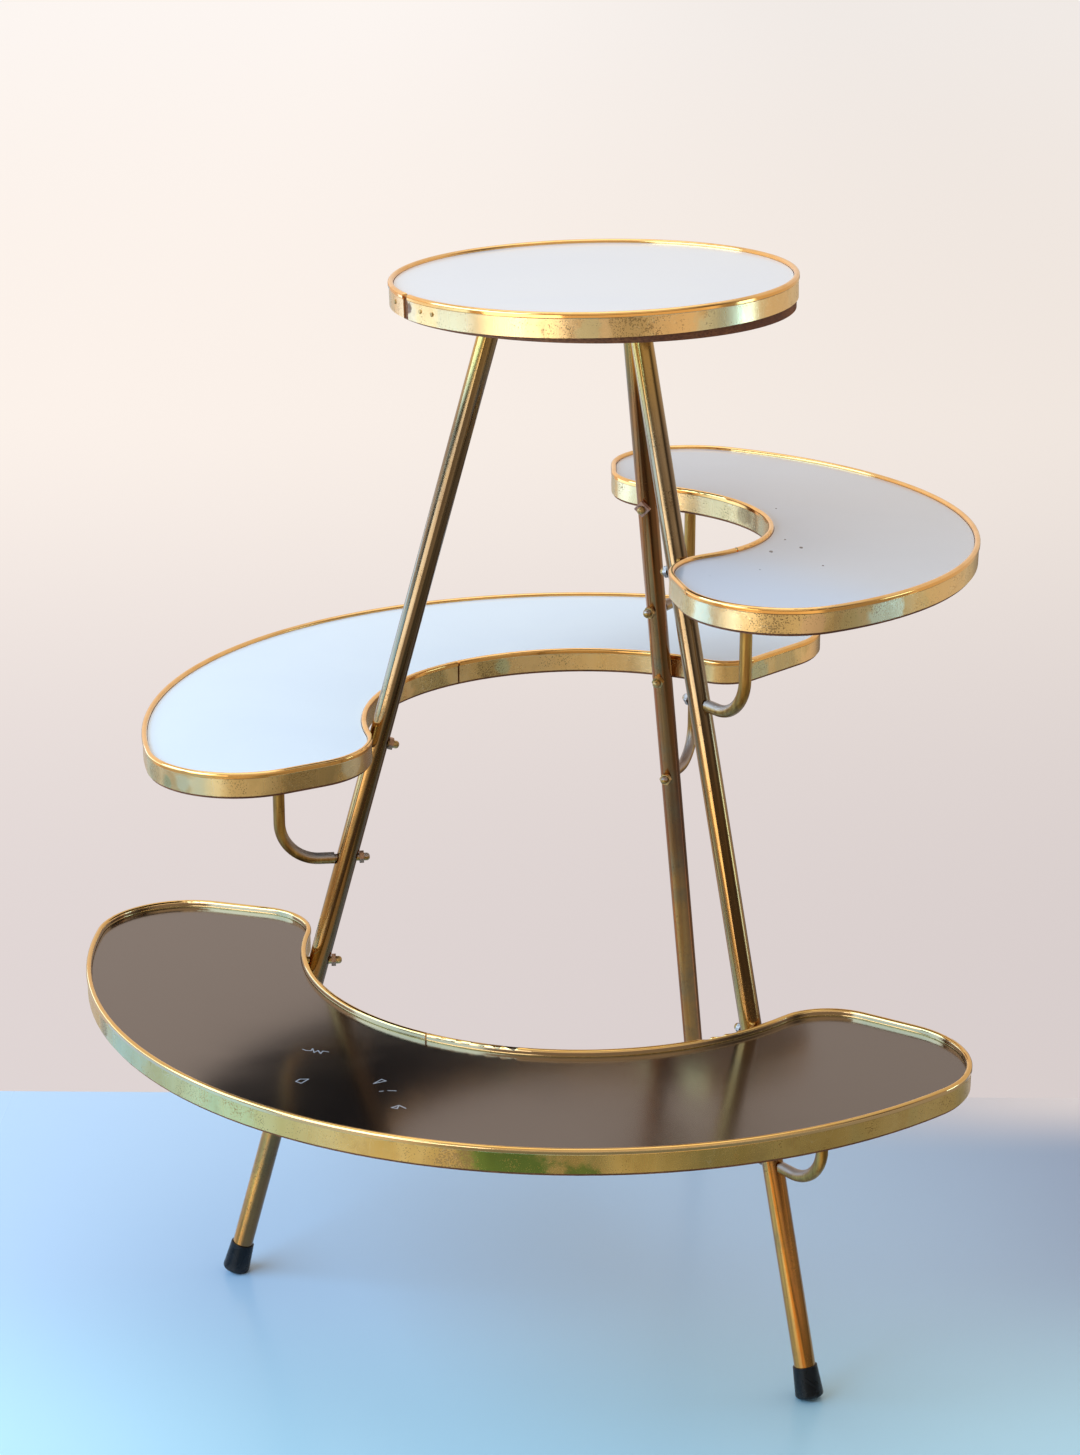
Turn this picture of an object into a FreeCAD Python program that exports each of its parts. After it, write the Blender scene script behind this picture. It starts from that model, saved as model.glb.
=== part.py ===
import FreeCAD, Part
import math
import os

# Plant stand: three leaning tube legs, three crescent shelves and a round tray.
# Millimetres and degrees. Up is +Z and the front looks along -Y.

# Tripod legs, brass tube
leg_d = 16.0
leg_wall = 1.0
leg_foot_r = 281.0
leg_top_r = 67.8
left_foot_az = 187.0
left_top_az = 188.6
right_foot_az = 306.9
right_top_az = 302.0
rear_foot_az = 68.6
rear_top_az = 62.9

# Rubber feet, pressed flat where they meet the floor
foot_length = 24.0
foot_base = 6.0
foot_top_d = 18.2
foot_end_d = 21.5
foot_edge_r = 2.5
foot_lip_r = 0.5
foot_flat = 0.8

# Laminate tops and brass edge bands, and how much board shows below a band
laminate_t = 1.0
shelf_reveal = 2.0
tray_reveal = 4.0
band_h = 18.0
band_t = 1.2
bead_w = 4.2
bead_h = 4.6
bead_proud = 0.7
band_gap = 1.6

# Round tray on top: its top leans a little, its underside is level
tray_z = 776.8
tray_r = 149.4
tray_x = 4.3
tray_y = -3.0
tray_tilt = 1.31
tray_lip = 2.7
tray_seam_az = 206.5
tray_seam_gap = 8.0

# Lower shelf: middle of its arcs, droop, lip, outer radius, ends, corners, bolts and brackets
lower_x = -6.0
lower_y = -12.9
lower_z = 257.3
lower_droop = 0.99
lower_droop_az = 97.0
lower_lip = 5.0
lower_out_r = 378.4
lower_start_az = 163.6
lower_end_az = 326.5
lower_corner_a_r = 67.3
lower_corner_b_r = 72.6
lower_horn_a_r = 52.1
lower_horn_b_r = 47.7
lower_bolt_rise = 8.5
lower_bolt_tip = 0.0
lower_bracket_drop = 87.0
lower_seam_az = 239.6

# Middle shelf
middle_x = 0.6
middle_y = -0.8
middle_z = 440.5
middle_droop = 0.14
middle_droop_az = 145.0
middle_lip = 2.7
middle_out_r = 337.3
middle_start_az = 47.0
middle_end_az = 211.2
middle_corner_a_r = 70.1
middle_corner_b_r = 71.5
middle_horn_a_r = 29.9
middle_horn_b_r = 62.1
middle_bolt_rise = 3.8
middle_bolt_tip = 15.5
middle_bracket_drop = 90.0
middle_seam_az = 127.8

# Upper shelf
upper_x = 20.4
upper_y = 3.8
upper_z = 592.7
upper_droop = 1.44
upper_droop_az = 24.0
upper_lip = 2.7
upper_out_r = 271.7
upper_start_az = -76.3
upper_end_az = 90.3
upper_corner_a_r = 67.6
upper_corner_b_r = 73.5
upper_horn_a_r = 60.8
upper_horn_b_r = 53.8
upper_bolt_rise = 7.0
upper_bolt_tip = 12.0
upper_bracket_drop = 86.0
upper_seam_az = -42.0

# Least straight edge between the two rounded corners at a shelf's end
end_flat = 10.0

# Bent rod brackets, two of them turned on their legs
rod_d = 9.0
rod_reach = 51.0
rod_bend_r = 30.0
stud_depth = 11.0
upper_right_turn = -11.5
upper_rear_turn = -8.0

# Bolts and nuts through the legs
bolt_d = 6.0
bolt_in_board = 3.5
bolt_end = 4.8
bolt_end_round = 2.5
nut_af = 8.4
nut_t = 3.4
square_nut_af = 9.4

# Sockets that hold the tray on the legs, with their screws
plate_d = 46.0
plate_t = 3.0
peg_length = 36.0
screw_ring_r = 17.0
screw_d = 2.8
screw_head_d = 6.0
screw_head_t = 1.8
screw_in_board = 10.0

# Tacks beside the tray's band joint
tack_az = (198.0, 215.0, 220.5)
tack_z = 12.5
tack_head_d = 3.2
tack_head_t = 0.9
tack_d = 1.2
tack_length = 8.0

# Clearances
fit = 0.3
seat = 0.05

UP = FreeCAD.Vector(0, 0, 1)
MIDDLE = FreeCAD.Vector(0, 0, 0)
LEG_AZ = {
    "left": (left_foot_az, left_top_az),
    "right": (right_foot_az, right_top_az),
    "rear": (rear_foot_az, rear_top_az),
}
leg_r = leg_d / 2.0
rod_r = rod_d / 2.0
board_inset = band_t + fit
laminate_inset = bead_w - bead_proud + fit


def board_t(reveal, lip):
    """Board under the laminate: it fills the band up to the lip and shows below it."""
    return reveal + band_h - lip - laminate_t


def polar(r, az, z=0.0):
    a = math.radians(az)
    return FreeCAD.Vector(r * math.cos(a), r * math.sin(a), z)


def cylinder(r, length, start, direction):
    return Part.makeCylinder(r, length, start, direction)


def leg_line(leg):
    """Where the leg's axis meets the floor, and its direction upwards."""
    foot_az, top_az = LEG_AZ[leg]
    foot = polar(leg_foot_r, foot_az)
    direction = polar(leg_top_r, top_az, tray_z) - foot
    direction.normalize()
    return foot, direction


def leg_point(leg, z):
    foot, direction = leg_line(leg)
    return foot + direction * (z / direction.z)


def lean(leg):
    return math.acos(leg_line(leg)[1].z)


def seat_distance(leg, out, half_height):
    """How far from the leg's axis a face square to this direction first meets the tube."""
    along = abs(leg_line(leg)[1].dot(out))
    return (leg_r + half_height * along) / math.sqrt(1 - along ** 2) + seat


class Shelf:
    """A crescent whose bay is set against two legs, drooping a little to one side."""

    def __init__(self, centre, droop, lip, out_r, ends, corners, horns, bolt, drop, seam_az, legs):
        angle, az = droop
        normal = polar(math.sin(math.radians(angle)), az, math.cos(math.radians(angle)))
        self.place = FreeCAD.Placement(FreeCAD.Vector(*centre), FreeCAD.Rotation(UP, normal))
        self.normal = normal
        self.droop = math.radians(angle)
        self.board_t = board_t(shelf_reveal, lip)
        self.out_r = out_r
        self.ends = ends
        self.corners = corners
        self.horns = horns
        self.rise, self.tip = bolt
        self.drop = drop
        self.seam_az = seam_az
        self.legs = legs
        self.in_r = max(self.bay_radius(leg) for leg in legs)

    def on_leg(self, leg, rise):
        """Point on the leg's axis this far above the shelf's underside."""
        foot, direction = leg_line(leg)
        level = self.place.Base + self.normal * rise
        return foot + direction * ((level - foot).dot(self.normal) / direction.dot(self.normal))

    def underside(self, point):
        """Height of the shelf's underside over this point."""
        off = self.place.Base - point
        return point.z + off.dot(self.normal) / self.normal.z

    def horn(self, end, in_r):
        """Centre of the rounded inner corner at one end, and the azimuth where it starts."""
        r = self.horns[end]
        turn = math.degrees(math.asin(r / (in_r + r)))
        az = self.ends[end] + (turn if end == 0 else -turn)
        return polar(in_r + r, az), az

    def touch(self, leg, in_r, rise):
        """Direction from the leg's axis square to the bay's edge, and the distance, in the shelf."""
        p = self.place.inverse().multVec(self.on_leg(leg, rise))
        p.z = 0
        middle_az = sum(self.ends) / 2.0
        az = middle_az + (math.degrees(math.atan2(p.y, p.x)) - middle_az + 180) % 360 - 180
        for end, beyond in ((0, -1), (1, 1)):
            centre, limit = self.horn(end, in_r)
            if beyond * (az - limit) > 0:
                way = centre - p
                return way / way.Length, way.Length - self.horns[end]
        return p / p.Length, in_r - p.Length

    def bay_radius(self, leg):
        """Inner radius at which the bay's edge just clears the leg."""
        need = leg_r / math.cos(lean(leg)) + fit
        p = self.on_leg(leg, shelf_reveal) - self.place.Base
        low, high = p.Length / 2.0, self.out_r
        for _ in range(60):
            r = (low + high) / 2.0
            if self.touch(leg, r, shelf_reveal)[1] < need:
                low = r
            else:
                high = r
        return high

    def outward(self, leg):
        """Level direction from the leg's axis square to the bay's edge."""
        out = self.place.Rotation.multVec(self.touch(leg, self.in_r, shelf_reveal)[0])
        out.z = 0
        out.normalize()
        return out

    def bracket_out(self, leg):
        return FreeCAD.Rotation(UP, self.legs[leg]).multVec(self.outward(leg))

    def corner(self, end):
        """Radius of the outer corner at one end, limited by the width left beside the horn."""
        taken = math.sqrt(self.in_r ** 2 + 2 * self.in_r * self.horns[end]) + end_flat
        room = (self.out_r ** 2 - taken ** 2) / (2 * self.out_r)
        return min(self.corners[end], room)

    def outline(self):
        """Arcs as (centre, radius, from, to, side), lines as (start, end), going round once."""
        a, b = self.ends
        ca, cb = self.corner(0), self.corner(1)
        ha, hb = self.horns
        turn_a = math.degrees(math.asin(ca / (self.out_r - ca)))
        turn_b = math.degrees(math.asin(cb / (self.out_r - cb)))
        corner_a = polar(self.out_r - ca, a + turn_a)
        corner_b = polar(self.out_r - cb, b - turn_b)
        horn_a, horn_a_az = self.horn(0, self.in_r)
        horn_b, horn_b_az = self.horn(1, self.in_r)
        return [
            ("arc", MIDDLE, self.out_r, a + turn_a, b - turn_b, 1),
            ("arc", corner_b, cb, b - turn_b, b + 90, 1),
            ("line", corner_b, cb, horn_b, hb, b + 90),
            ("arc", horn_b, hb, b + 90, horn_b_az + 180, 1),
            ("arc", MIDDLE, self.in_r, horn_b_az, horn_a_az, -1),
            ("arc", horn_a, ha, horn_a_az - 180, a - 90, 1),
            ("line", horn_a, ha, corner_a, ca, a - 90),
            ("arc", corner_a, ca, a - 90, a + turn_a, 1),
        ]

    def put(self, shape):
        """Move a piece drawn with the shelf's underside at the origin to its place."""
        shape.Placement = self.place.multiply(shape.Placement)
        return shape


SHELVES = {
    "lower": Shelf((lower_x, lower_y, lower_z), (lower_droop, lower_droop_az), lower_lip,
                   lower_out_r, (lower_start_az, lower_end_az), (lower_corner_a_r, lower_corner_b_r),
                   (lower_horn_a_r, lower_horn_b_r), (lower_bolt_rise, lower_bolt_tip),
                   lower_bracket_drop, lower_seam_az, {"left": 0.0, "right": 0.0}),
    "middle": Shelf((middle_x, middle_y, middle_z), (middle_droop, middle_droop_az), middle_lip,
                    middle_out_r, (middle_start_az, middle_end_az),
                    (middle_corner_a_r, middle_corner_b_r), (middle_horn_a_r, middle_horn_b_r),
                    (middle_bolt_rise, middle_bolt_tip), middle_bracket_drop,
                    middle_seam_az, {"rear": 0.0, "left": 0.0}),
    "upper": Shelf((upper_x, upper_y, upper_z), (upper_droop, upper_droop_az), upper_lip,
                   upper_out_r, (upper_start_az, upper_end_az), (upper_corner_a_r, upper_corner_b_r),
                   (upper_horn_a_r, upper_horn_b_r), (upper_bolt_rise, upper_bolt_tip),
                   upper_bracket_drop, upper_seam_az,
                   {"right": upper_right_turn, "rear": upper_rear_turn}),
}


def crescent_slab(shelf, inset, z, thickness):
    """The shelf's outline, set back behind its edge, as a flat slab in its place."""
    edges = []
    for piece in shelf.outline():
        if piece[0] == "arc":
            _, c, r, a, b, side = piece
            r = r - side * inset
            points = [c + polar(r, angle, z) for angle in (a, (a + b) / 2.0, b)]
            edges.append(Part.Arc(*points).toShape())
        else:
            _, c, r, d, s, az = piece
            edges.append(Part.makeLine(c + polar(r - inset, az, z), d + polar(s - inset, az, z)))
    return shelf.put(Part.Face(Part.Wire(edges)).extrude(UP * thickness))


def band_section(point, out, reveal, lap):
    """Band section: a flat strip with a rounded bead that laps over the board's edge."""
    def at(n, z):
        return point + out * n + UP * z

    top = reveal + band_h
    bead_r = bead_w / 2.0
    inner = bead_proud - bead_w
    neck = top - bead_h
    shoulder = top - bead_r
    crown = at(bead_proud - bead_r, top)
    corners = [
        at(inner, shoulder),
        at(inner, lap),
        at(-band_t, lap),
        at(-band_t, reveal),
        at(0, reveal),
        at(0, neck),
        at(bead_proud, neck + bead_proud),
        at(bead_proud, shoulder),
    ]
    edges = [Part.makeLine(p, q) for p, q in zip(corners, corners[1:])]
    edges.append(Part.Arc(corners[-1], crown, corners[0]).toShape())
    return Part.Face(Part.Wire(edges))


def band_arc(c, r, a, b, side, reveal, lap):
    section = band_section(c + polar(r, a), polar(side, a), reveal, lap)
    axis = UP if b > a else -UP
    return section.revolve(c, axis, abs(b - a))


def crescent_band(shelf):
    heights = (shelf_reveal, shelf.board_t)
    parts = []
    for piece in shelf.outline():
        if piece[0] == "line":
            _, c, r, d, s, az = piece
            section = band_section(c + polar(r, az), polar(1, az), *heights)
            parts.append(section.extrude(d + polar(s, az) - c - polar(r, az)))
            continue
        _, c, r, a, b, side = piece
        if side > 0:
            parts.append(band_arc(c, r, a, b, side, *heights))
        else:
            half = math.degrees(band_gap / 2.0 / r)
            parts.append(band_arc(c, r, a, shelf.seam_az + half, side, *heights))
            parts.append(band_arc(c, r, shelf.seam_az - half, b, side, *heights))
    band = shelf.put(parts[0].multiFuse(parts[1:]).removeSplitter())
    for leg in shelf.legs:
        band = band.cut(bolt_hole(shelf, leg))
    return band


def rim_line(shelf, leg):
    """Where the rim bolt crosses the leg's axis, its direction and its depth to the board end."""
    tip = math.radians(shelf.tip)
    out = shelf.outward(leg) * math.cos(tip) + UP * math.sin(tip)
    reach = shelf.touch(leg, shelf.in_r, shelf.rise)[1] + board_inset + bolt_in_board
    return shelf.on_leg(leg, shelf.rise), out, reach / math.cos(tip)


def bolt_hole(shelf, leg):
    """Clearance hole for the rim bolt, from inside the leg into the board's edge."""
    axis, out, depth = rim_line(shelf, leg)
    return cylinder(bolt_d / 2.0 + fit, 2 * leg_d + depth + fit, axis - out * (2 * leg_d), out)


def bracket_base(shelf, leg):
    """Where the bracket's rod crosses the leg's axis."""
    return shelf.on_leg(leg, -shelf.drop)


def bracket_top(shelf, leg):
    """Where the bracket's upright meets the shelf's underside."""
    top = bracket_base(shelf, leg) + shelf.bracket_out(leg) * rod_reach
    top.z = shelf.underside(top)
    return top


def crescent_board(shelf):
    board = crescent_slab(shelf, board_inset, 0, shelf.board_t)
    for leg in shelf.legs:
        start = bracket_top(shelf, leg) - UP * bolt_d
        board = board.cut(cylinder(bolt_d / 2.0 + fit, bolt_d + stud_depth + fit, start, UP))
        board = board.cut(bolt_hole(shelf, leg))
    return board


def rounded_pin(length, start, direction):
    """Bolt shank with a rounded free end at its far end, turned from its half outline."""
    def at(r, z):
        return FreeCAD.Vector(r, 0, z)

    r = bolt_d / 2.0
    low = length - bolt_end_round
    flat = r - bolt_end_round
    bend = bolt_end_round * math.sqrt(0.5)
    corners = [at(flat, length), at(0, length), at(0, 0), at(r, 0), at(r, low)]
    edges = [Part.makeLine(p, q) for p, q in zip(corners, corners[1:])]
    edges.append(Part.Arc(corners[-1], at(flat + bend, low + bend), corners[0]).toShape())
    pin = Part.Face(Part.Wire(edges)).revolve(MIDDLE, UP, 360)
    pin.Placement = FreeCAD.Placement(start, FreeCAD.Rotation(UP, direction))
    return pin


def rim_bolt(shelf, leg):
    axis, out, depth = rim_line(shelf, leg)
    inside = seat_distance(leg, out, nut_af / 2.0) + nut_t + bolt_end
    return rounded_pin(depth + inside, axis + out * depth, -out)


def bracket(shelf, leg):
    """Rod from the leg, bent up to the board, with a threaded tail and a threaded top."""
    out = shelf.bracket_out(leg)
    base = bracket_base(shelf, leg)
    stop = seat_distance(leg, out, rod_r)
    bend_start = base + out * (rod_reach - rod_bend_r)
    arm = cylinder(rod_r, rod_reach - rod_bend_r - stop, base + out * stop, out)
    disc = Part.Face(Part.Wire(Part.makeCircle(rod_r, bend_start, out)))
    bend = disc.revolve(bend_start + UP * rod_bend_r, out.cross(UP), 90)
    upright_base = base + out * rod_reach + UP * rod_bend_r
    top = bracket_top(shelf, leg).z - upright_base.z
    height = top - rod_r * math.tan(shelf.droop) - seat
    upright = cylinder(rod_r, height, upright_base, UP)
    stud = cylinder(bolt_d / 2.0, top + stud_depth - height + rod_r, upright_base + UP * (height - rod_r), UP)
    inside = seat_distance(leg, out, nut_af / 2.0) + nut_t + bolt_end
    tail = rounded_pin(stop + rod_r + inside, base + out * (stop + rod_r), -out)
    return arm.multiFuse([bend, upright, stud, tail]).removeSplitter()


def nut(leg, axis, out, sides, flats):
    """Nut of this many sides on a bolt that crosses the leg's axis here, seated against the tube."""
    across = flats / 2.0 / math.cos(math.pi / sides)
    corners = [polar(across, 360.0 / sides * i) for i in range(sides + 1)]
    blank = Part.Face(Part.makePolygon(corners)).extrude(UP * nut_t)
    blank = blank.cut(cylinder(bolt_d / 2.0 + fit, 2 * nut_t, UP * (-nut_t / 2.0), UP))
    upright = FreeCAD.Rotation(UP.cross(out), UP, -out, "ZXY")
    blank.Placement = FreeCAD.Placement(axis - out * seat_distance(leg, out, across), upright)
    return blank


def rim_nut(shelf, leg, sides, flats):
    axis, out, _ = rim_line(shelf, leg)
    return nut(leg, axis, out, sides, flats)


def bracket_nut(shelf, leg):
    return nut(leg, bracket_base(shelf, leg), shelf.bracket_out(leg), 6, nut_af)


def leg_tube(leg):
    foot, direction = leg_line(leg)
    start = foot_centre(leg) + direction * foot_base
    length = tray_z / direction.z
    tube = cylinder(leg_r, length, start, direction)
    tube = tube.cut(cylinder(leg_r - leg_wall, length, start, direction))
    wide = 4 * leg_d
    corner = leg_point(leg, tray_z - plate_t) - FreeCAD.Vector(wide / 2, wide / 2, 0)
    tube = tube.cut(Part.makeBox(wide, wide, wide, corner))
    for shelf in SHELVES.values():
        if leg in shelf.legs:
            axis, out, _ = rim_line(shelf, leg)
            for point, way in ((axis, out), (bracket_base(shelf, leg), shelf.bracket_out(leg))):
                hole = cylinder(bolt_d / 2.0 + fit, 4 * leg_d, point - way * (2 * leg_d), way)
                tube = tube.cut(hole)
    return tube


def foot_centre(leg):
    """Middle of the rubber foot's end, low enough to press its inner edge flat."""
    a = lean(leg)
    low = (foot_end_d / 2.0 - foot_edge_r) * math.sin(a) + foot_edge_r * (1 - math.cos(a))
    return leg_point(leg, low - foot_flat)


def rubber_foot(leg):
    direction = leg_line(leg)[1]
    end_r = foot_end_d / 2.0
    blank = Part.makeCone(end_r, foot_top_d / 2.0, foot_length)
    rims = [e for e in blank.Edges if isinstance(e.Curve, Part.Circle)]
    rims.sort(key=lambda e: e.CenterOfMass.z)
    blank = blank.makeFillet(foot_edge_r, [rims[0]])
    rims = [e for e in blank.Edges if isinstance(e.Curve, Part.Circle) and e.CenterOfMass.z > foot_length / 2]
    blank = blank.makeFillet(foot_lip_r, rims)
    blank = blank.cut(cylinder(leg_r + fit, foot_length, UP * foot_base, UP))
    blank.Placement = FreeCAD.Placement(foot_centre(leg), FreeCAD.Rotation(UP, direction))
    wide = 4 * foot_end_d
    floor = Part.makeBox(wide, wide, wide, foot_centre(leg) - FreeCAD.Vector(wide / 2, wide / 2, 0))
    floor.translate(FreeCAD.Vector(0, 0, -wide - foot_centre(leg).z))
    return blank.cut(floor)


def on_tray(shape):
    """Move a piece drawn about the tray's middle, upright, to its leaning place."""
    middle = FreeCAD.Vector(tray_x, tray_y, tray_z)
    turn = FreeCAD.Rotation(FreeCAD.Vector(0, 1, 0), -tray_tilt)
    shape.Placement = FreeCAD.Placement(middle, turn).multiply(shape.Placement)
    return shape


def screw_points(leg):
    az = LEG_AZ[leg][1]
    return [leg_point(leg, tray_z) + polar(screw_ring_r, az + 60 + 120 * i) for i in range(3)]


def tray_socket(leg):
    """Plate under the tray with a leaning peg that fills the top of the leg."""
    point = leg_point(leg, tray_z)
    direction = leg_line(leg)[1]
    plate = cylinder(plate_d / 2.0, plate_t, point, -UP)
    peg = cylinder(leg_r - leg_wall - fit, peg_length + plate_t, point, -direction)
    roof = cylinder(plate_d, plate_t, point, UP)
    socket = plate.fuse(peg.cut(roof)).removeSplitter()
    for p in screw_points(leg):
        socket = socket.cut(cylinder(screw_d / 2.0 + fit, 2 * plate_t, p + UP * (plate_t / 2), -UP))
    return socket


def socket_screws(leg):
    screws = []
    for p in screw_points(leg):
        shank = cylinder(screw_d / 2.0, screw_in_board + plate_t, p + UP * screw_in_board, -UP)
        head = cylinder(screw_head_d / 2.0, screw_head_t, p - UP * plate_t, -UP)
        screws.append(head.fuse(shank).removeSplitter())
    return screws


def tack_hole(az):
    reach = tack_length + fit
    return cylinder(tack_d / 2.0 + fit, reach + fit, polar(tray_r - reach, az, tack_z), polar(1, az))


def tray_board():
    """Board of the tray: its top leans with the band, its underside lies level on the sockets."""
    below = tray_r * math.tan(math.radians(tray_tilt))
    board = cylinder(tray_r - board_inset, below + board_t(tray_reveal, tray_lip), UP * -below, UP)
    for az in tack_az:
        board = board.cut(tack_hole(az))
    board = on_tray(board)
    wide = 4 * tray_r
    corner = FreeCAD.Vector(tray_x - wide / 2, tray_y - wide / 2, tray_z - wide)
    board = board.cut(Part.makeBox(wide, wide, wide, corner))
    depth = screw_in_board + fit
    for leg in LEG_AZ:
        for p in screw_points(leg):
            board = board.cut(cylinder(screw_d / 2.0 + fit, 2 * depth, p - UP * depth, UP))
    return board


def tray_laminate():
    on_board = UP * board_t(tray_reveal, tray_lip)
    return on_tray(cylinder(tray_r - laminate_inset, laminate_t, on_board, UP))


def tray_band():
    half = math.degrees(tray_seam_gap / 2.0 / tray_r)
    start = tray_seam_az + half
    lap = board_t(tray_reveal, tray_lip)
    band = band_arc(MIDDLE, tray_r, start, start + 360 - 2 * half, 1, tray_reveal, lap)
    for az in tack_az:
        band = band.cut(tack_hole(az))
    return on_tray(band)


def tray_tacks():
    tacks = []
    for az in tack_az:
        out = polar(1, az)
        face = polar(tray_r, az, tack_z)
        head = cylinder(tack_head_d / 2.0, tack_head_t, face, out)
        rim = max(head.Edges, key=lambda e: e.CenterOfMass.dot(out))
        head = head.makeFillet(tack_head_t * 0.8, [rim])
        shank = cylinder(tack_d / 2.0, tack_length, face - out * tack_length, out)
        tacks.append(on_tray(head.fuse(shank).removeSplitter()))
    return tacks


def bolts_of(shelf):
    return [rim_bolt(shelf, leg) for leg in shelf.legs]


def nuts_of(leg):
    """Hexagon nuts on one leg, for its rim bolts and brackets."""
    nuts = []
    for name, shelf in SHELVES.items():
        if leg not in shelf.legs:
            continue
        nuts.append(bracket_nut(shelf, leg))
        if (name, leg) != ("upper", "rear"):
            nuts.append(rim_nut(shelf, leg, 6, nut_af))
    return nuts


def all_parts():
    parts = {}
    for leg in LEG_AZ:
        parts["leg_" + leg] = leg_tube(leg)
        parts["foot_" + leg] = rubber_foot(leg)
        parts["tray_socket_" + leg] = tray_socket(leg)
        parts["nuts_" + leg] = Part.makeCompound(nuts_of(leg))
    for name, shelf in SHELVES.items():
        parts[name + "_board"] = crescent_board(shelf)
        parts[name + "_laminate"] = crescent_slab(shelf, laminate_inset, shelf.board_t, laminate_t)
        parts[name + "_band"] = crescent_band(shelf)
        parts[name + "_rim_bolts"] = Part.makeCompound(bolts_of(shelf))
        for leg in shelf.legs:
            parts[name + "_bracket_" + leg] = bracket(shelf, leg)
    parts["tray_board"] = tray_board()
    parts["tray_laminate"] = tray_laminate()
    parts["tray_band"] = tray_band()
    parts["tray_tacks"] = Part.makeCompound(tray_tacks())
    screws = [screw for leg in LEG_AZ for screw in socket_screws(leg)]
    parts["tray_socket_screws"] = Part.makeCompound(screws)
    parts["square_nut"] = rim_nut(SHELVES["upper"], "rear", 4, square_nut_af)
    return parts


def main():
    parts = all_parts()
    box = FreeCAD.BoundBox()
    for shape in parts.values():
        box.add(shape.optimalBoundingBox(False))
    middle = FreeCAD.Vector(-box.Center.x, -box.Center.y, 0)
    os.makedirs("parts", exist_ok=True)
    for name, shape in parts.items():
        moved = shape.copy()
        moved.translate(middle)
        moved.exportStep("parts/" + name + ".step")


main()
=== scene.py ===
import math

import bpy
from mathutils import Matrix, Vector

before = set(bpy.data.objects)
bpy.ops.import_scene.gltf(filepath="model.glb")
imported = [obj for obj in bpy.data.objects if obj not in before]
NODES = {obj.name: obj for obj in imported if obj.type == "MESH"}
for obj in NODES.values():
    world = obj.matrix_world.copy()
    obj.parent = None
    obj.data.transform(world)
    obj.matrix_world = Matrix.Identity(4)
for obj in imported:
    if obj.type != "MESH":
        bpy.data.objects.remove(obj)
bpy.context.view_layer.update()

# Plant stand: three leaning brass legs, three crescent shelves and a round tray. Metres.

# Camera at the photograph's place, worked out for a picture 1080 wide and 1455 high
CAMERA_PLACE = (0.0459944, -2.2458211, 1.2075)
CAMERA_TILT = 71.533
CAMERA_TURN = 0.8858
CAMERA_LENS = 104.34
CAMERA_FILM = 36.0

# Floor: a pale blue sheet under the stand with a pale warm ground behind it
SHEET_BACK = 0.325
SHEET_FRONT = -6.0
GROUND_BACK = 14.0
STAGE_HALF = 9.0

# Depths, in front of the stand, of the room that the metal mirrors: where it takes the sheet's place,
# where its bright strip ends and where its lit far part begins
ROOM_NEAR = -0.42
ROOM_FAR = -0.56
STRIP_NEAR = -0.75
STRIP_FAR = -0.95
FRONT_NEAR = -1.30
FRONT_FAR = -1.60

# Soft lights round the stand, as middle, width, height, watts and colour
STAND_MIDDLE = Vector((0.0, 0.0, 0.42))
WINDOWS = {
    "window_left": (Vector((-1.9, -0.75, 1.50)), 2.7, 1.4, 60.0, (0.38, 0.68, 1.0)),
    "window_low_left": (Vector((-1.10, 0.25, 0.43)), 1.5, 0.26, 2.9, (0.25, 0.58, 1.0)),
    "lit_wall_left": (Vector((-1.28, -1.62, 0.42)), 1.7, 0.5, 7.5, (1.0, 0.95, 0.86)),
    "lit_patch_right": (Vector((2.1, 0.02, 0.40)), 0.45, 0.35, 2.1, (0.45, 0.80, 1.0)),
    "ceiling_glow": (Vector((0.0, 0.3, 3.0)), 2.6, 2.6, 17.0, (1.0, 0.94, 0.86)),
}

# Windows that only show as reflections in the metal
ONLY_MIRRORED = ("window_low_left", "lit_wall_left")

SHELF_NAMES = ("lower", "middle", "upper")


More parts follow.
